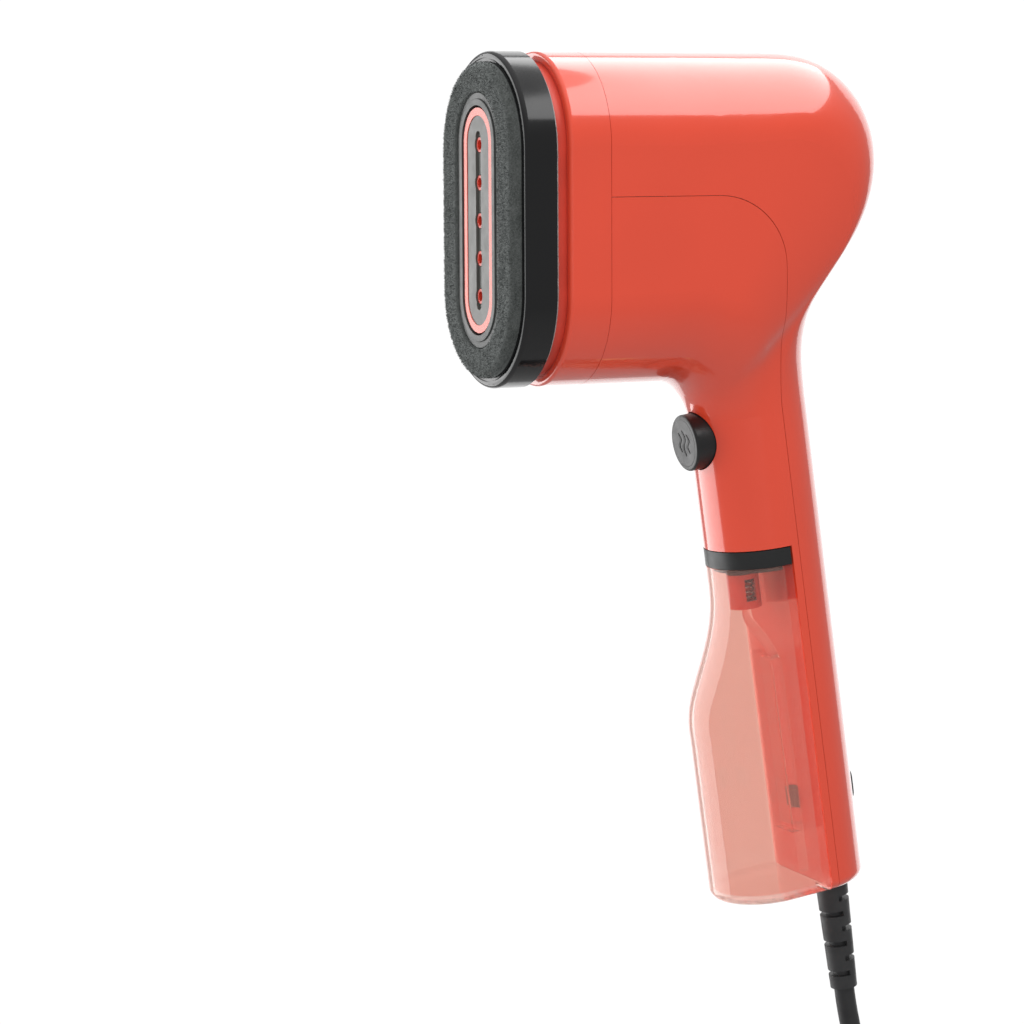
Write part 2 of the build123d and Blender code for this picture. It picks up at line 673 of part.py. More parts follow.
def make_strain_relief():
    boot = grip_rod(6.4, 0, RELIEF_ACROSS, RELIEF_FLANGE, FOOT - WALL - 0.1)
    boot += grip_rod(5.1, 0, RELIEF_ACROSS, FOOT - WALL - 0.2, FOOT + 4)
    length = RELIEF_END - FOOT - 4
    boot += GRIP * Pos(0, RELIEF_ACROSS, FOOT + 4 + length / 2) * Rot(180, 0, 0) * Cone(4.3, 5.1, length)
    for i in range(6):
        side = 1 if i % 2 else -1
        low = FOOT + 7 + i * 5.0
        cut = grip_box(-8, 8, RELIEF_ACROSS - 0.6, RELIEF_ACROSS + 8, low, low + 1.7)
        if side > 0:
            cut = grip_box(-8, 8, RELIEF_ACROSS - 8, RELIEF_ACROSS + 0.6, low, low + 1.7)
        boot -= cut - grip_rod(2.9, 0, RELIEF_ACROSS, FOOT, RELIEF_END)
    return boot


PLUG_X = COIL_THICK + 8.0
PLUG_Y = COIL_Y + 2.0
PLUG_Z = COIL_Z + COIL_R - 4.0


def make_plug_body():
    body = Pos(PLUG_X, PLUG_Y, PLUG_Z) * Box(14.0, 30.0, 22.0)
    body = fillet(body.edges().filter_by(Axis.Y), 5.0)
    return body + Pos(PLUG_X, PLUG_Y - 20.0, PLUG_Z) * Rot(90, 0, 0) * Cone(5.5, 3.6, 10)


def make_plug_pins():
    pins = [Pos(PLUG_X, PLUG_Y + 23.5, PLUG_Z + z) * Box(6.3, 17.0, 1.5) for z in (-6.35, 6.35)]
    return Compound(children=[Solid(p.solid().wrapped) for p in pins])


# ---------------------------------------------------------------- write the sub-parts
def main():
    os.makedirs("parts", exist_ok=True)
    front_shell, back_shell = make_casing()
    nodes = {
        "front_collar": make_collar(),
        "lower_front_shell": front_shell,
        "upper_back_shell": back_shell,
        "nose_neck": make_neck(),
        "neck_keepers": discs(2.5, -82.9, -80.9),
        "nose_ring": head_ring(NOSE_W, NOSE_H, NOSE_WALL, NOSE_FRONT, -76.0),
        "steam_plate": make_steam_plate(),
        "outlet_strip": make_outlet_strip(),
        "steam_manifold": head_ring(16.2, 61.9, 2.1, PLATE_FRONT + 6, -74.0),
        "steam_gasket": head_ring(26.0, 71.0, 7.0, -74.0, -72.2),
        "boiler_block": make_boiler_block(),
        "boiler_lid": make_boiler_lid(),
        "boiler_screws": make_boiler_screws(),
        "heater_element": make_heater(),
        "thermostat": make_thermostat(),
        "thermal_fuse": make_thermal_fuse(),
        "check_valve": head_rod(5.0, 0, -43.0, -33.0, PUMP_Z),
        "delivery_hose": head_rod(3.2, 0, -33.0, -25.0, PUMP_Z),
        "pump_body": make_pump_body(),
        "pump_coil": make_pump_coil(),
        "pump_cradle": make_pump_cradle(),
        "suction_hose": make_suction_hose(),
        "circuit_board": make_circuit_board(),
        "board_parts": make_board_parts(),
        "inner_lead": make_inner_lead(),
        "button_guide": make_button_guide(),
        "steam_button": make_steam_button(),
        "button_spring": make_button_spring(),
        "microswitch": make_microswitch(),
        "release_button": make_release_button(),
        "release_spring": make_release_spring(),
        "tank_socket": make_tank_socket(),
        "tank_body": make_tank(),
        "tank_cap": make_tank_cap(),
        "valve_plunger": make_valve_plunger(),
        "valve_cage": make_valve_cage(),
        "valve_spring": make_valve_spring(),
        "dip_tube": make_dip_tube(),
        "foot_screws": make_foot_screws(),
        "pad_frame": make_pad_frame(),
        "velvet_pad": make_velvet_pad(),
        "lint_pad": make_lint_pad(),
        "pad_ring": make_pad_ring(),
        "pad_magnets": discs(2.5, PAD_BACK - 2.7, PAD_BACK - 0.7),
        "strain_relief": make_strain_relief(),
        "power_cord": make_power_cord(),
        "cord_coil": make_cord_coil(),
        "cord_tie": make_cord_tie(),
        "plug_body": make_plug_body(),
        "plug_pins": make_plug_pins(),
    }
    for name, shape in nodes.items():
        export_step(shape, f"parts/{name}.step")


main()
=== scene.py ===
import json
import math
import random

import bmesh
import bpy
from mathutils import Matrix, Quaternion, Vector, noise


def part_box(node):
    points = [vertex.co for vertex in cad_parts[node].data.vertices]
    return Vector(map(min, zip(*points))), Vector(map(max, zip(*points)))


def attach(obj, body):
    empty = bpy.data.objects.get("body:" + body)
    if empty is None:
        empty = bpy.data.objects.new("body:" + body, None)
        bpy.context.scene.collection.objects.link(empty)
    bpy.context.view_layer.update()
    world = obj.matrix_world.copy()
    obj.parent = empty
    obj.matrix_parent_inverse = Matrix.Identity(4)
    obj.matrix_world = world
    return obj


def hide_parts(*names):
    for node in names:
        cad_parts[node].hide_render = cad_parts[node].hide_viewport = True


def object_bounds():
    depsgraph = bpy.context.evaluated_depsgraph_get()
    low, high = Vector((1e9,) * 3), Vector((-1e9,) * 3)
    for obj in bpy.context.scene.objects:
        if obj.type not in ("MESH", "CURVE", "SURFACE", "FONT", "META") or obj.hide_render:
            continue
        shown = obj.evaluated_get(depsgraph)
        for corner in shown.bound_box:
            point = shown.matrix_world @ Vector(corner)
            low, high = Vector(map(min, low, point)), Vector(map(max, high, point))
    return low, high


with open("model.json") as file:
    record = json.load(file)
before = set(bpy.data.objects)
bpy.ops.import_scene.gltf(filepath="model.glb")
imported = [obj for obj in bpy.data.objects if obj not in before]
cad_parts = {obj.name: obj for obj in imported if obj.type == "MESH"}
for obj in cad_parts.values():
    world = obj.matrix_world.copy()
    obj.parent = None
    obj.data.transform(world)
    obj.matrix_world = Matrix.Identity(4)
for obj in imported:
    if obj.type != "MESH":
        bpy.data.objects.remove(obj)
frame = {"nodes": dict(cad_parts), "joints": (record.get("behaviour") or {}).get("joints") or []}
bpy.context.view_layer.update()
cad_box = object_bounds()
NODES = frame["nodes"]
MM = 0.001


# ---------------------------------------------------------------- camera
HEAD_FRONT = (0, -0.094, 0.106)
DISTANCE = 0.9504
AZIMUTH, ELEVATION, ROLL = (math.radians(degrees) for degrees in (66.885, 1.4855, 0.3835))
TURN_DOWN, TURN_RIGHT = math.radians(5.228), math.radians(0.438)
LENS, SENSOR_WIDTH = 112.0, 36.0


def make_camera():
    """A long lens level with the head, turned down so that the whole grip fits below it."""
    back = Vector((math.sin(AZIMUTH) * math.cos(ELEVATION),
                   -math.cos(AZIMUTH) * math.cos(ELEVATION), math.sin(ELEVATION)))
    right = (-back).cross(Vector((0, 0, 1))).normalized()
    up = right.cross(-back)
    pitch = Quaternion(right, -TURN_DOWN)
    forward, up = pitch @ -back, pitch @ up
    yaw = Quaternion(up, -TURN_RIGHT)
    forward, right = yaw @ forward, yaw @ right
    turn = Quaternion(forward, ROLL)
    right, up = turn @ right, turn @ up
    camera = bpy.data.objects.new("camera", bpy.data.cameras.new("camera"))
    bpy.context.scene.collection.objects.link(camera)
    camera.data.lens = LENS
    camera.data.sensor_width = SENSOR_WIDTH
    place = Matrix.Translation(Vector(HEAD_FRONT) + back * DISTANCE)
    camera.matrix_world = place @ Matrix((right, up, -forward)).transposed().to_4x4()
    bpy.context.scene.camera = camera


make_camera()


# ---------------------------------------------------------------- material helpers
def new_material(name, colour, roughness, **sockets):
    """A Principled material. Sockets are named with _ for spaces."""
    material = bpy.data.materials.new(name)
    material.use_nodes = True
    shader = material.node_tree.nodes["Principled BSDF"]
    shader.inputs["Base Color"].default_value = (*colour, 1)
    shader.inputs["Roughness"].default_value = roughness
    for key, value in sockets.items():
        shader.inputs[key.replace("_", " ")].default_value = value
    return material


def scaled(colour, factor):
    return tuple(channel * factor for channel in colour)


def add_node(material, kind, **values):
    """A shader node, with its sockets and settings set by name."""
    node = material.node_tree.nodes.new(kind)
    for key, value in values.items():
        socket = key.replace("_", " ")
        if socket in node.inputs:
            node.inputs[socket].default_value = value
        else:
            setattr(node, key, value)
    return node


def link(material, source, target):
    material.node_tree.links.new(source, target)


def place_of(material, stretch=(1, 1, 1)):
    """The surface's own coordinates in metres, stretched."""
    place = add_node(material, "ShaderNodeTexCoord")
    mapping = add_node(material, "ShaderNodeMapping", Scale=stretch)
    link(material, place.outputs["Object"], mapping.inputs["Vector"])
    return mapping.outputs["Vector"]


def noise_of(material, scale, detail=3.0, stretch=(1, 1, 1)):
    node = add_node(material, "ShaderNodeTexNoise", Scale=scale, Detail=detail)
    link(material, place_of(material, stretch), node.inputs["Vector"])
    return node.outputs["Fac"]


def ramp_of(material, source, low, high, start=0.0, end=1.0):
    """source from start to end, spread over low to high."""
    node = add_node(material, "ShaderNodeMapRange")
    for key, value in (("From Min", start), ("From Max", end), ("To Min", low), ("To Max", high)):
        node.inputs[key].default_value = value
    link(material, source, node.inputs["Value"])
    return node.outputs["Result"]


def vary_roughness(material, source, low, high):
    shader = material.node_tree.nodes["Principled BSDF"]
    link(material, ramp_of(material, source, low, high, 0.3, 0.7), shader.inputs["Roughness"])


def vary_colour(material, source, dark, light, start=0.3, end=0.7):
    shader = material.node_tree.nodes["Principled BSDF"]
    ramp = add_node(material, "ShaderNodeValToRGB")
    ramp.color_ramp.elements[0].position = start
    ramp.color_ramp.elements[0].color = (*dark, 1)
    ramp.color_ramp.elements[1].position = end
    ramp.color_ramp.elements[1].color = (*light, 1)
    link(material, source, ramp.inputs["Fac"])
    link(material, ramp.outputs["Color"], shader.inputs["Base Color"])


def add_bump(material, source, distance, strength):
    """Bumps of that depth in metres, on top of the bumps made before."""
    shader = material.node_tree.nodes["Principled BSDF"]
    bump = add_node(material, "ShaderNodeBump", Strength=strength, Distance=distance)
    before = [item.from_socket for item in shader.inputs["Normal"].links]
    if before:
        link(material, before[0], bump.inputs["Normal"])
    link(material, source, bump.inputs["Height"])
    link(material, bump.outputs["Normal"], shader.inputs["Normal"])


# ---------------------------------------------------------------- materials
FLOW_MARK_DEPTH = 0.000003
SPARK_GRAIN_DEPTH = 0.00002
RUBBER_GRAIN_DEPTH = 0.00003
TOOL_MARK_DEPTH = 0.00002
PATCH_DEPTH, TUFT_DEPTH = 0.00008, 0.00012
WEAVE_DEPTH = 0.00015


def gloss_plastic(name, colour, roughness, spread, coat):
    """A polished moulding, with flow marks too faint to see but in its reflections."""
    material = new_material(name, colour, roughness, Coat_Weight=coat, Coat_Roughness=0.04, IOR=1.49)
    vary_roughness(material, noise_of(material, 55, 4), roughness - spread / 2, roughness + spread / 2)
    vary_colour(material, noise_of(material, 18, 2), scaled(colour, 0.965), scaled(colour, 1.03))
    add_bump(material, noise_of(material, 1400, 2), FLOW_MARK_DEPTH, 0.2)
    return material


def satin_plastic(name, colour, roughness):
    """A fine spark-eroded grain."""
    material = new_material(name, colour, roughness, IOR=1.5)
    vary_roughness(material, noise_of(material, 240, 3), roughness - 0.06, roughness + 0.08)
    vary_colour(material, noise_of(material, 90, 3), scaled(colour, 0.88), scaled(colour, 1.1))
    add_bump(material, noise_of(material, 2600, 3), SPARK_GRAIN_DEPTH, 0.6)
    return material


def rubber(name, colour, roughness):
    """Dull soft rubber with a fine uneven skin."""
    material = new_material(name, colour, roughness, IOR=1.5, Specular_IOR_Level=0.4)
    vary_roughness(material, noise_of(material, 300, 3), roughness - 0.08, roughness + 0.1)
    vary_colour(material, noise_of(material, 120, 4), scaled(colour, 0.8), scaled(colour, 1.25))
    add_bump(material, noise_of(material, 1900, 3), RUBBER_GRAIN_DEPTH, 0.6)
    return material


def metal(name, colour, roughness):
    """Bare metal with fine tool marks."""
    material = new_material(name, colour, roughness, Metallic=1.0)
    marks = noise_of(material, 900, 3)
    vary_roughness(material, marks, roughness - 0.1, roughness + 0.12)
    vary_colour(material, noise_of(material, 60, 3), scaled(colour, 0.85), colour)
    add_bump(material, marks, TOOL_MARK_DEPTH, 0.5)
    return material


def pile_fabric(name, dark, light, sheen, tint):
    """Short dense pile: patches that lie different ways, and single tufts."""
    material = new_material(name, light, 0.95, Sheen_Weight=sheen, Sheen_Roughness=0.45,
                            Sheen_Tint=(*tint, 1), Specular_IOR_Level=0.15)
    patches = noise_of(material, 420, 4, (1, 1, 0.35))
    tufts = add_node(material, "ShaderNodeTexVoronoi", Scale=1900.0)
    link(material, place_of(material), tufts.inputs["Vector"])
    mix = add_node(material, "ShaderNodeMath", operation="MULTIPLY_ADD")
    link(material, tufts.outputs["Distance"], mix.inputs[0])
    mix.inputs[1].default_value = 0.55
    link(material, patches, mix.inputs[2])
    vary_colour(material, mix.outputs["Value"], dark, light, 0.4, 1.0)
    add_bump(material, patches, PATCH_DEPTH, 0.5)
    add_bump(material, tufts.outputs["Distance"], TUFT_DEPTH, 0.8)
    return material


def clear_plastic(name, tint, roughness):
    """Clear tinted moulding that lets lamps through to what is behind it."""
    material = new_material(name, tint, roughness, Transmission_Weight=0.97, IOR=1.04,
                            Coat_Weight=1.0, Coat_Roughness=0.04)
    vary_roughness(material, noise_of(material, 40, 3), roughness - 0.02, roughness + 0.03)
    vary_colour(material, noise_of(material, 25, 2), scaled(tint, 0.98), tint)
    deepen_edges(material, tuple(channel ** 4 for channel in tint))
    lamps_through(material, tuple(channel ** 0.65 for channel in tint))
    return material


def deepen_edges(material, deep):
    """Clear walls seen along their length have a deeper tint, where the surface turns away."""
    colour = material.node_tree.nodes["Principled BSDF"].inputs["Base Color"]
    turned = add_node(material, "ShaderNodeLayerWeight", Blend=0.5)
    mix = add_node(material, "ShaderNodeMixRGB", Color2=(*deep, 1))
    link(material, ramp_of(material, turned.outputs["Facing"], 0.0, 1.0, 0.6, 0.97), mix.inputs["Fac"])
    link(material, colour.links[0].from_socket, mix.inputs["Color1"])
    link(material, mix.outputs["Color"], colour)


def lamps_through(material, tint):
    """Lamps reach what stands behind the clear wall."""
    output = material.node_tree.nodes["Material Output"]
    mix = add_node(material, "ShaderNodeMixShader")
    through = add_node(material, "ShaderNodeBsdfTransparent", Color=(*tint, 1))
    path = add_node(material, "ShaderNodeLightPath")
    link(material, path.outputs["Is Shadow Ray"], mix.inputs["Fac"])
    link(material, material.node_tree.nodes["Principled BSDF"].outputs["BSDF"], mix.inputs[1])
    link(material, through.outputs["BSDF"], mix.inputs[2])
    link(material, mix.outputs["Shader"], output.inputs["Surface"])


def woven_strap(name, colour):
    """Narrow woven tape with a fine diagonal weave."""
    material = new_material(name, colour, 0.85, Sheen_Weight=0.25, Sheen_Roughness=0.5)
    waves = []
    for turn in (0.7, -0.7):
        wave = add_node(material, "ShaderNodeTexWave", Scale=1500.0, Distortion=0.6)
        mapping = add_node(material, "ShaderNodeMapping", Rotation=(turn, turn, turn))
        link(material, place_of(material), mapping.inputs["Vector"])
        link(material, mapping.outputs["Vector"], wave.inputs["Vector"])
        waves.append(wave.outputs["Fac"])
    weave = add_node(material, "ShaderNodeMath", operation="MULTIPLY")
    link(material, waves[0], weave.inputs[0])
    link(material, waves[1], weave.inputs[1])
    vary_colour(material, weave.outputs["Value"], scaled(colour, 0.6), scaled(colour, 1.5), 0, 1)
    add_bump(material, weave.outputs["Value"], WEAVE_DEPTH, 0.8)
    return material


coral = gloss_plastic("coral", (0.74, 0.064, 0.027), 0.17, 0.06, 1.0)
# A darker copy of the coral: painted shade for the recessed nose neck between the pad frame and the body. The
# valve cage inside the tank wears it too.
coral_shaded = satin_plastic("coral_shaded", (0.55, 0.05, 0.03), 0.35)
black_gloss = gloss_plastic("black_gloss", (0.006, 0.006, 0.0065), 0.12, 0.04, 0.0)
button_grey = satin_plastic("button_grey", (0.040, 0.041, 0.042), 0.38)
black_satin = satin_plastic("black_satin", (0.012, 0.0125, 0.013), 0.36)
grey_satin = satin_plastic("grey_satin", (0.058, 0.061, 0.059), 0.42)
plate_grey = satin_plastic("plate_grey", (0.088, 0.087, 0.080), 0.36)
outlet_coral = satin_plastic("outlet_coral", (0.60, 0.05, 0.028), 0.3)
nose_coral = gloss_plastic("nose_coral", (0.72, 0.10, 0.06), 0.24, 0.06, 0.2)
tank_coral = clear_plastic("tank_coral", (0.90, 0.62, 0.55), 0.1)
pale_clear = clear_plastic("pale_clear", (0.98, 0.95, 0.94), 0.1)
velvet = pile_fabric("velvet", (0.038, 0.042, 0.040), (0.090, 0.096, 0.093), 0.45, (0.8, 0.85, 0.84))
lint = pile_fabric("lint", (0.20, 0.17, 0.165), (0.42, 0.37, 0.36), 0.6, (1, 0.95, 0.93))
cord_rubber = rubber("cord_rubber", (0.022, 0.022, 0.023), 0.5)
relief_rubber = rubber("relief_rubber", (0.03, 0.03, 0.031), 0.45)
silicone = rubber("silicone", (0.62, 0.6, 0.56), 0.4)
dark_plastic = satin_plastic("dark_plastic", (0.03, 0.03, 0.033), 0.42)
aluminium = metal("aluminium", (0.6, 0.6, 0.61), 0.42)
steel = metal("steel", (0.58, 0.58, 0.6), 0.28)
brass = metal("brass", (0.72, 0.52, 0.22), 0.3)
copper = satin_plastic("copper", (0.42, 0.14, 0.05), 0.32)
ceramic = satin_plastic("ceramic", (0.78, 0.77, 0.73), 0.2)
board_green = satin_plastic("board_green", (0.02, 0.16, 0.07), 0.3)
strap_tape = woven_strap("strap_tape", (0.02, 0.02, 0.022))
sign_ink = satin_plastic("sign_ink", (0.008, 0.008, 0.008), 0.5)

NODE_MATERIALS = {
    coral: ["front_collar", "lower_front_shell", "upper_back_shell"],
    # painted shade: the recessed nose neck gets the darker copy of the coral
    coral_shaded: ["nose_neck", "valve_cage"],
    pale_clear: ["dip_tube"],
    nose_coral: ["nose_ring"],
    outlet_coral: ["outlet_strip"],
    plate_grey: ["steam_plate"],
    grey_satin: ["pad_ring"],
    black_gloss: ["pad_frame"],
    black_satin: ["tank_cap", "release_button", "steam_button"],
    tank_coral: ["tank_body"],
    velvet: ["velvet_pad"],
    lint: ["lint_pad"],
    relief_rubber: ["strain_relief", "plug_body"],
    cord_rubber: ["power_cord", "cord_coil", "cord_tie", "inner_lead"],
    silicone: ["steam_gasket", "delivery_hose", "suction_hose"],
    dark_plastic: ["pump_body", "pump_cradle", "button_guide", "microswitch", "board_parts",
                   "tank_socket", "steam_manifold", "valve_plunger"],
    aluminium: ["boiler_block", "boiler_lid"],
    steel: ["boiler_screws", "heater_element", "foot_screws", "button_spring", "release_spring",
            "valve_spring", "pad_magnets", "neck_keepers", "thermal_fuse"],
    brass: ["check_valve", "plug_pins"],
    copper: ["pump_coil"],
    ceramic: ["thermostat"],
    board_green: ["circuit_board"],
}
for finish, names in NODE_MATERIALS.items():
    for node_name in names:
        NODES[node_name].data.materials.clear()
        NODES[node_name].data.materials.append(finish)


# ---------------------------------------------------------------- mesh helpers
def new_object(name, mesh, material, body):
    """A visible piece that rides on a body of the frame."""
    piece = bpy.data.objects.new(name, mesh)
    bpy.context.scene.collection.objects.link(piece)
    piece.data.materials.append(material)
    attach(piece, body)
    return piece


def grid_mesh(name, rows, close_rows=True):
    """A mesh of quads through rows of points, each row a closed loop.

    close_rows joins the last row to the first.
    """
    bm = bmesh.new()
    loops = [[bm.verts.new(point) for point in row] for row in rows]
    pairs = list(zip(loops, loops[1:]))
    if close_rows:
        pairs.append((loops[-1], loops[0]))
    for lower, upper in pairs:
        for i, vertex in enumerate(lower):
            after = (i + 1) % len(lower)
            bm.faces.new((vertex, lower[after], upper[after], upper[i]))
    bmesh.ops.recalc_face_normals(bm, faces=bm.faces)
    mesh = bpy.data.meshes.new(name)
    bm.to_mesh(mesh)
    bm.free()
    for polygon in mesh.polygons:
        polygon.use_smooth = True
    return mesh


def weld(mesh, distance):
    """Points nearer than distance become one, and ends that are still open are closed."""
    bm = bmesh.new()
    bm.from_mesh(mesh)
    bmesh.ops.remove_doubles(bm, verts=bm.verts, dist=distance)
    bmesh.ops.holes_fill(bm, edges=bm.edges, sides=0)
    bmesh.ops.recalc_face_normals(bm, faces=bm.faces)
    bm.to_mesh(mesh)
    bm.free()


def oblong_point(share, half_width, straight):
    """(x, z) at a share of the way round an upright oblong: two straights between round ends.

    straight is half the length of a straight side.
    """
    arc, run = math.pi * half_width, 2 * straight
    along = (share % 1.0) * (2 * arc + 2 * run)
    side = 1
    if along >= arc + run:
        along -= arc + run
        side = -1
    if along < run:
        return side * half_width, side * (along - straight)
    turn = (along - run) / half_width
    return side * half_width * math.cos(turn), side * (straight + half_width * math.sin(turn))


# ---------------------------------------------------------------- power cord
CORD_D = 0.0065
COIL_CENTRE = (0.030, -0.222)

# The lead's route, in millimetres.
COIL_R = 36.7
LEAD_POINTS = [(0, 29.38, -140.78), (0, 33, -166), (-1, 48, -179), (-3, 66.5, -197.5)]
TURN_PLACES = [(-3.5, 6.2), (3.5, 6.2), (7.0, 0), (0, 0), (-7.0, 0), (-7.0, -6.2), (0, -6.2), (7.0, -6.2)]
LAST_TURN_DEGREES = (0, -22, -42)
TAIL_TURNS = [(7.2, 30, -60), (8.5, 30.5, -88), (12.0, 33.0, -112), (16.0, 39.5, -134), (18.2, 47.5, -154)]
TAIL_POINTS = [(18.5, -23.5, -222), (18.5, -23, -209), (18.5, -17.5, -198.5), (18.5, -7.5, -191.8),
               (18.5, -0.5, -190), (18.5, 7.2, -190)]
POINTS_A_TURN = 16


def metres(point):
    return tuple(value * MM for value in point)


def coil_point(x, radius, degrees):
    """A point beside the coil's middle plane, turned about the coil's centre."""
    angle = math.radians(degrees)
    return (x * MM,
            COIL_CENTRE[0] + radius * MM * math.cos(angle),
            COIL_CENTRE[1] + radius * MM * math.sin(angle))


def coil_points():
    """Seven turns wound in three rows, each turn shifting to its next place as it goes round."""
    points = []
    for turn, (here, there) in enumerate(zip(TURN_PLACES, TURN_PLACES[1:])):
        for i in range(POINTS_A_TURN):
            share = i / POINTS_A_TURN
            x = here[0] + (there[0] - here[0]) * share
            out = here[1] + (there[1] - here[1]) * share
            points.append(coil_point(x, COIL_R + out, -360 * share))
    return points


def make_cord():
    """The lead from the strain relief, round the coil and back up to the plug."""
    points = [metres(point) for point in LEAD_POINTS]
    points += coil_points()
    last_x, last_out = TURN_PLACES[-1]
    points += [coil_point(last_x, COIL_R + last_out, degrees) for degrees in LAST_TURN_DEGREES]
    points += [coil_point(*turn) for turn in TAIL_TURNS]
    points += [metres(point) for point in TAIL_POINTS]
    curve = bpy.data.curves.new("power_lead", "CURVE")
    curve.dimensions = "3D"
    curve.bevel_depth = CORD_D / 2
    curve.bevel_resolution = 6
    curve.resolution_u = 10
    curve.use_fill_caps = True
    spline = curve.splines.new("NURBS")
    spline.points.add(len(points) - 1)
    for target, point in zip(spline.points, points):
        target.co = (*point, 1)
    spline.order_u = 3
    spline.use_endpoint_u = True
    return new_object("power_lead", curve, cord_rubber, "housing")


TIE_STEPS = 96
TIE_HALF_X, TIE_HALF_Z = 0.0110, 0.0102
TIE_CORNER_POWER = 0.55  # below 1 the loop's corners are squarer than an ellipse
TAPE_THICK, TAPE_WIDE = 0.0011, 0.012
TAPE_GAP = 0.0001
TAPE_SECTION = [(-0.5, 0.15), (-0.5, 0.85), (-0.46, 1.0), (0.46, 1.0),
                (0.5, 0.85), (0.5, 0.15), (0.46, 0), (-0.46, 0)]


def tie_outline(grow):
    """(x, z) round the bundle of turns, that much outside it."""
    loop = []
    for i in range(TIE_STEPS):
        angle = 2 * math.pi * i / TIE_STEPS
        c, s = math.cos(angle), math.sin(angle)
        x = math.copysign(abs(c) ** TIE_CORNER_POWER, c) * (TIE_HALF_X + grow)
        z = math.copysign(abs(s) ** TIE_CORNER_POWER, s) * (TIE_HALF_Z + grow)
        loop.append((x, z))
    return loop


def tape_piece(name, inner, outer, first, last, width):
    """Bent tape with rounded long edges, between two outlines, from one share of the loop to another."""
    middle = Vector((0, COIL_CENTRE[0], COIL_CENTRE[1] + COIL_R * MM))
    inside, outside = tie_outline(inner), tie_outline(outer)
    rows = []
    for i in range(int(first * TIE_STEPS), int(last * TIE_STEPS) + 1):
        a, b = inside[i % TIE_STEPS], outside[i % TIE_STEPS]
        rows.append([middle + Vector((a[0] + (b[0] - a[0]) * t, y * width, a[1] + (b[1] - a[1]) * t))
                     for y, t in TAPE_SECTION])
    mesh = grid_mesh(name, rows, close_rows=False)
    weld(mesh, 1e-6)
    return new_object(name, mesh, strap_tape, "housing")


power_lead = make_cord()
tie_strap = tape_piece("tie_strap", 0.0, TAPE_THICK, 0.0, 1.0, TAPE_WIDE)
tie_end = tape_piece("tie_end", TAPE_THICK + TAPE_GAP, 2 * TAPE_THICK, 0.06, 0.36, TAPE_WIDE * 0.94)
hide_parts("cord_tie")
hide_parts("power_cord", "cord_coil")


# ---------------------------------------------------------------- velvet and lint pads
RING_STEPS = 420
HOLE_GAP = 0.0003
SMALL_SWELL, WIDE_SWELL = 0.00008, 0.00003
SWELL_FADES = 0.001  # from this far in front of the ring's back, the swell is whole
FIBRE_HALF_WIDTH = 0.00006
HEAD_Z = HEAD_FRONT[2]


def ring_section(width, front, back, round_edge):
    """(inset, y) across the ring, from the outer back edge over the front to the inner back edge."""
    section = [(0.0, back)]
    for i in range(9):
        turn = math.radians(90 * i / 8)
        section.append((round_edge * (1 - math.cos(turn)), front + round_edge * (1 - math.sin(turn))))
    for i in range(1, 12):
        section.append((round_edge + (width - 1.5 * round_edge) * i / 12, front))
    inner_round = round_edge / 2
    for i in range(7):
        turn = math.radians(90 - 90 * i / 6)
        section.append((width - inner_round * (1 - math.cos(turn)),
                        front + inner_round * (1 - math.sin(turn))))
    section.append((width, back))
    return section


def ring_pad(name, node, material, round_edge):
    """A soft ring round the pad's grey ring, in the space of a CAD node, with an uneven face."""
    low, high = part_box(node)
    hole_low, hole_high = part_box("pad_ring")
    outer = ((high.x - low.x) / 2, (high.z - low.z) / 2)
    inner = ((hole_high.x - hole_low.x) / 2 + HOLE_GAP, (hole_high.z - hole_low.z) / 2 + HOLE_GAP)
    centre_z = (high.z + low.z) / 2
    width = outer[0] - inner[0]
    rows = []
    for i in range(RING_STEPS):
        row = []
        for inset, y in ring_section(width, low.y, high.y, round_edge):
            share = inset / width
            half_width = outer[0] - inset
            straight = (outer[1] - outer[0]) * (1 - share) + (inner[1] - inner[0]) * share
            x, z = oblong_point(i / RING_STEPS, half_width, straight)
            point = Vector((x, y, z + centre_z))
            swell = noise.noise(point * 900) * SMALL_SWELL + noise.noise(point * 260) * WIDE_SWELL
            point.y += swell * min(1.0, (high.y - y) / SWELL_FADES)
            row.append(point)
        rows.append(row)
    piece = new_object(name, grid_mesh(name, rows), material, "pad")
    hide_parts(node)
    return piece


def add_pile(name, piece, material, count, length, seed, wanted):
    """Fibres of pile as slim blades on a piece's surface, where wanted says so."""
    rng = random.Random(seed)
    mesh = piece.data
    mesh.calc_loop_triangles()
    triangles = [t for t in mesh.loop_triangles if wanted(t.center)]
    areas = [t.area for t in triangles]
    points, faces = [], []
    for triangle in rng.choices(triangles, weights=areas, k=count):
        a, b, c = (mesh.vertices[i].co for i in triangle.vertices)
        u, v = rng.random(), rng.random()
        if u + v > 1:
            u, v = 1 - u, 1 - v
        root = a + (b - a) * u + (c - a) * v
        lean = Vector((rng.gauss(0, 0.4), rng.gauss(0, 0.4), rng.gauss(0, 0.4)))
        tip = root + (triangle.normal + lean).normalized() * length * rng.uniform(0.5, 1.1)
        twist = Vector((rng.gauss(0, 1), rng.gauss(0, 1), rng.gauss(0, 1)))
        side = twist.cross(tip - root).normalized() * FIBRE_HALF_WIDTH
        first = len(points)
        points += [root - side, root + side, tip]
        faces.append((first, first + 1, first + 2))
    pile = bpy.data.meshes.new(name)
    pile.from_pydata(points, [], faces)
    return new_object(name, pile, material, "pad")


velvet_piece = ring_pad("velvet_cover", "velvet_pad", velvet, 0.0024)
add_pile("velvet_pile", velvet_piece, velvet, 26000, 0.00062, 11,
         lambda point: point.y < -0.0945)
lint_piece = ring_pad("lint_cover", "lint_pad", lint, 0.0005)
add_pile("lint_pile", lint_piece, lint, 7000, 0.0006, 12,
         lambda point: abs(point.x) > 0.0275 or abs(point.z - HEAD_Z) > 0.047)


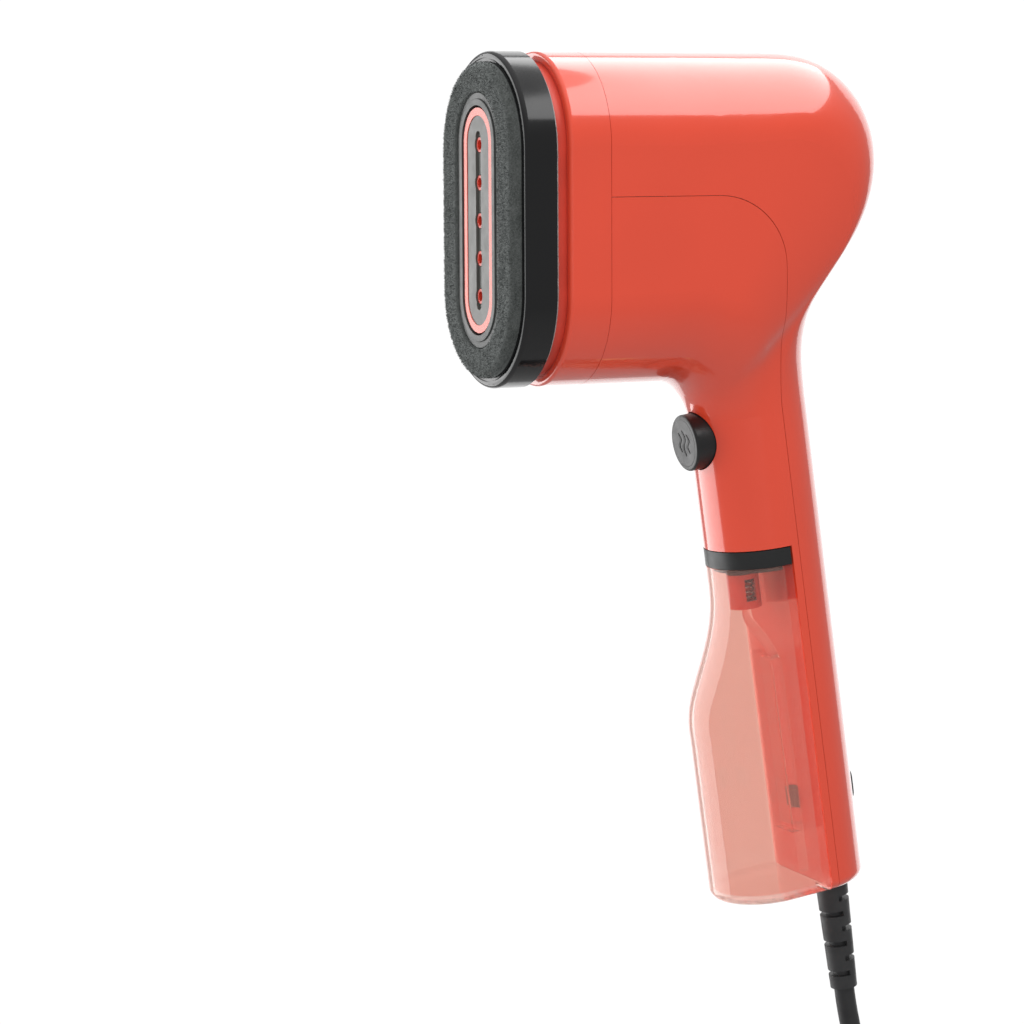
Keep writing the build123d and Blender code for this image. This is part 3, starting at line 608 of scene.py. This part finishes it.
# ---------------------------------------------------------------- steam sign on the button
ACROSS = Vector((1, 0, 0))
WISPS = ((-0.0026, 0.0030), (0.0, 0.0040), (0.0026, 0.0030))  # how far to the side, how far up and down
WISP_STEPS = 24
WISP_SWAY, WISP_SWAYS = 0.0007, 1.4
WISP_HALF_WIDTH, WISP_END_HALF_WIDTH = 0.00052, 0.00002
INK_PROUD, INK_DEEP = 0.00016, 0.0001
DISC_STEPS = 96
DISC_PROFILE = ((0.0, -0.00006), (0.0066, -0.00006), (0.0070, -0.00009), (0.0072, -0.00009),
                (0.00735, -0.00002), (0.00735, 0.0002), (0.0, 0.0002))


def steam_button_face():
    """The way the steam button goes in, how far along it its face is, and the face's points."""
    axis = Vector(next(j["axis"] for j in frame["joints"] if j["name"] == "steam_button_press"))
    corners = [v.co for v in NODES["steam_button"].data.vertices]
    face = min(corner.dot(axis) for corner in corners)
    return axis, face, [corner for corner in corners if corner.dot(axis) < face + 0.0001]


def make_steam_sign():
    """Three rising wisps, printed on the button's face."""
    axis, face, rim = steam_button_face()
    up = ACROSS.cross(axis)
    if up.z < 0:
        up = -up
    height = sum(corner.dot(up) for corner in rim) / len(rim)
    front, back = axis * (face - INK_PROUD), axis * (face + INK_DEEP)
    bm = bmesh.new()
    for offset, reach in WISPS:
        loops = []
        for i in range(WISP_STEPS + 1):
            share = i / WISP_STEPS * 2 - 1
            x = offset + WISP_SWAY * math.sin(share * math.pi * WISP_SWAYS)
            half = WISP_HALF_WIDTH * math.sqrt(max(0.0, 1 - share**4)) + WISP_END_HALF_WIDTH
            spot = up * (height + share * reach)
            loops.append([bm.verts.new(spot + ACROSS * (x + s * half) + depth)
                          for depth, s in ((front, -1), (front, 1), (back, 1), (back, -1))])
        for lower, upper in zip(loops, loops[1:]):
            for i in range(4):
                bm.faces.new((lower[i], lower[(i + 1) % 4], upper[(i + 1) % 4], upper[i]))
        bm.faces.new(loops[0])
        bm.faces.new(reversed(loops[-1]))
    bmesh.ops.recalc_face_normals(bm, faces=bm.faces)
    mesh = bpy.data.meshes.new("steam_sign")
    bm.to_mesh(mesh)
    bm.free()
    new_object("steam_sign", mesh, sign_ink, "steam_button")


def make_button_face():
    """A satin disc let into the button's face, with a fine turned edge."""
    axis, _, rim = steam_button_face()
    centre = sum(rim, Vector()) / len(rim)
    up = axis.cross(ACROSS)
    turns = [2 * math.pi * i / DISC_STEPS for i in range(DISC_STEPS)]
    rows = []
    for radius, depth in DISC_PROFILE:
        rows.append([centre + (ACROSS * math.cos(turn) + up * math.sin(turn)) * radius + axis * depth
                     for turn in turns])
    mesh = grid_mesh("button_face", rows)
    weld(mesh, 1e-7)
    new_object("button_face", mesh, button_grey, "steam_button")


make_button_face()
make_steam_sign()


# ---------------------------------------------------------------- room
FLOOR_GAP = 0.004
HEAD = (0, -0.03, 0.08)


def make_floor():
    """A pale floor just below the coil, which fades out away from the object."""
    bm = bmesh.new()
    bmesh.ops.create_grid(bm, x_segments=8, y_segments=8, size=12)
    mesh = bpy.data.meshes.new("floor")
    bm.to_mesh(mesh)
    bm.free()
    floor = bpy.data.objects.new("floor", mesh)
    bpy.context.scene.collection.objects.link(floor)
    floor.location.z = cad_box[0].z - FLOOR_GAP
    pale = new_material("floor", (0.7, 0.7, 0.7), 0.9)
    fade = add_node(pale, "ShaderNodeTexGradient", gradient_type="SPHERICAL")
    link(pale, place_of(pale, (0.9, 0.9, 0.9)), fade.inputs["Vector"])
    alpha = pale.node_tree.nodes["Principled BSDF"].inputs["Alpha"]
    link(pale, ramp_of(pale, fade.outputs["Fac"], 0.0, 0.2, 0.1, 0.75), alpha)
    mesh.materials.append(pale)


def soft_light(name, place, target, size, radiance, diffuse=True, glossy=True):
    """A rectangular soft box, by how bright its face is."""
    lamp = bpy.data.lights.new(name, "AREA")
    lamp.shape = "RECTANGLE"
    lamp.size, lamp.size_y = size
    lamp.energy = radiance * math.pi * size[0] * size[1]
    piece = bpy.data.objects.new(name, lamp)
    bpy.context.scene.collection.objects.link(piece)
    piece.location = place
    piece.rotation_mode = "QUATERNION"
    piece.rotation_quaternion = (Vector(target) - Vector(place)).to_track_quat("-Z", "Y")
    piece.visible_camera = False
    piece.visible_transmission = False
    piece.visible_diffuse = diffuse
    piece.visible_glossy = glossy


def make_world():
    """A white room, lighter overhead: pure white to the camera, softer through clear parts and as a light."""
    world = bpy.data.worlds.new("world")
    bpy.context.scene.world = world
    world.use_nodes = True
    nodes, links = world.node_tree.nodes, world.node_tree.links
    room = nodes["Background"]
    room.inputs["Color"].default_value = (1, 1, 1, 1)
    place, split = nodes.new("ShaderNodeTexCoord"), nodes.new("ShaderNodeSeparateXYZ")
    overhead = nodes.new("ShaderNodeMapRange")
    overhead.interpolation_type = "SMOOTHSTEP"
    for key, value in (("From Min", 0.25), ("From Max", 1.0), ("To Min", 0.36), ("To Max", 0.85)):
        overhead.inputs[key].default_value = value
    links.new(place.outputs["Generated"], split.inputs["Vector"])
    links.new(split.outputs["Z"], overhead.inputs["Value"])
    path = nodes.new("ShaderNodeLightPath")
    strength = overhead.outputs["Result"]
    for ray, share in (("Is Transmission Ray", 0.60), ("Is Camera Ray", 0.7)):
        more = nodes.new("ShaderNodeMath")
        more.operation = "MULTIPLY_ADD"
        more.inputs[1].default_value = share
        links.new(path.outputs[ray], more.inputs[0])
        links.new(strength, more.inputs[2])
        strength = more.outputs["Value"]
    links.new(strength, room.inputs["Strength"])


make_floor()
make_world()
soft_light("top_strip", (0.15, 0.8, 1.15), (0.15, 0.8, 0), (2.4, 0.8), 3.2, diffuse=False)
soft_light("top_box", (0.3, 0.1, 1.3), HEAD, (1.0, 1.0), 2.6, glossy=False)
soft_light("camera_fill", (1.3, -0.5, 0.3), HEAD, (1.0, 1.0), 3.3, glossy=False)
soft_light("left_box", (-0.9, -0.9, 0.0), HEAD, (1.3, 1.5), 2.6)
soft_light("back_box", (-1.2, 0.9, 0.0), (0, 0, 0), (2.4, 2.4), 1.0)
bpy.context.scene.view_settings.view_transform = "Standard"

bpy.context.view_layer.update()
